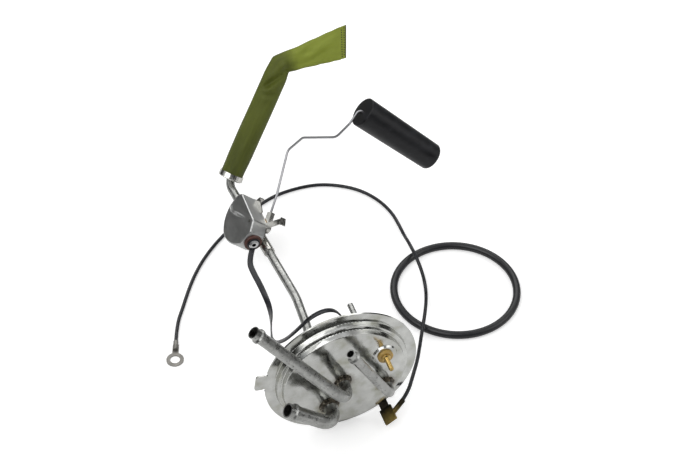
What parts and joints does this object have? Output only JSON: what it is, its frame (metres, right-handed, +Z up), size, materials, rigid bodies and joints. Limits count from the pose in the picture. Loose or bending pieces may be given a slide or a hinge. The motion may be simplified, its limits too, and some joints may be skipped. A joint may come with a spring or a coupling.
{
  "type": "fuel tank sending unit",
  "caption": "Round tank cover with three fuel outlets, a pick-up tube with a folded filter sock, a level sender with a swinging float arm, ground lead and seal ring.",
  "frame": {"origin": "centre of the front face of the cover's rim, on the cover's axis", "axes": "-Y out of the tank along the cover's axis, +Y into the tank along the pick-up tube, +Z up from the surface that the unit lies on"},
  "size_m": [0.2627, 0.2978, 0.1315],
  "materials": {
    "zinc_plate": "satin zinc plate",
    "zinc_tube": "satin zinc plate",
    "braze": "brown braze metal",
    "braze_silver": "grey braze metal",
    "brass": "bright",
    "amber_plastic": "amber, slightly glossy",
    "tinned": "dull tin plate",
    "black_lead": "black insulation",
    "fibre": "red-brown phenolic",
    "bright_metal": "bright plated",
    "grey_metal": "dull grey plated",
    "card": "phenolic card",
    "winding": "resistance wire",
    "bronze": "spring bronze",
    "sock_mesh": "woven olive mesh",
    "old_brass": "tarnished brass",
    "black_rubber": "moulded",
    "float_foam": "moulded closed-cell float"
  },
  "bodies": {
    "unit": {"cover_plate": "zinc_plate", "ground_blade": "zinc_plate", "feed_tube": "zinc_tube", "return_tube": "zinc_tube", "vent_tube": "zinc_tube", "feed_braze_ring": "braze", "return_braze_ring": "braze_silver", "vent_braze_ring": "braze_silver", "terminal_stud": "brass", "outer_insulator": "amber_plastic", "inner_insulator": "amber_plastic", "lead_ring": "tinned", "stud_nut": "zinc_plate", "sender_lead": "black_lead", "insulator_washer": "fibre", "terminal_eyelet": "bright_metal", "terminal_rivet": "bright_metal", "sender_housing": "grey_metal", "housing_back_plate": "zinc_plate", "tube_bracket": "zinc_plate", "resistor_card": "card", "resistance_winding": "winding", "winding_tail": "brass", "ground_spring": "bronze", "spring_rivet": "bronze", "sock_collar": "bright_metal", "filter_sock": "sock_mesh", "ground_terminal": "old_brass", "ground_lead": "black_lead", "ring_terminal": "tinned", "seal_ring": "black_rubber"},
    "arm": {"pivot_shaft": "bright_metal", "wiper_arm": "bronze", "wiper_contact": "brass", "arm_hub": "zinc_plate", "float_arm": "bright_metal", "float_retainer": "zinc_plate"},
    "float_body": {"float": "float_foam"}
  },
  "joints": [
    {"name": "arm_pivot", "type": "hinge", "parent": "unit", "child": "arm", "pos_m": [-0.0116, 0.1562, -0.0065], "axis": [0.7314, 0, -0.682], "range_deg": [-30, 58]},
    {"name": "float_spin", "type": "hinge", "parent": "arm", "child": "float_body", "pos_m": [0.07085, 0.1692, 0.06784], "axis": [0.7167, -0.1994, -0.6683], "continuous": true}
  ]
}
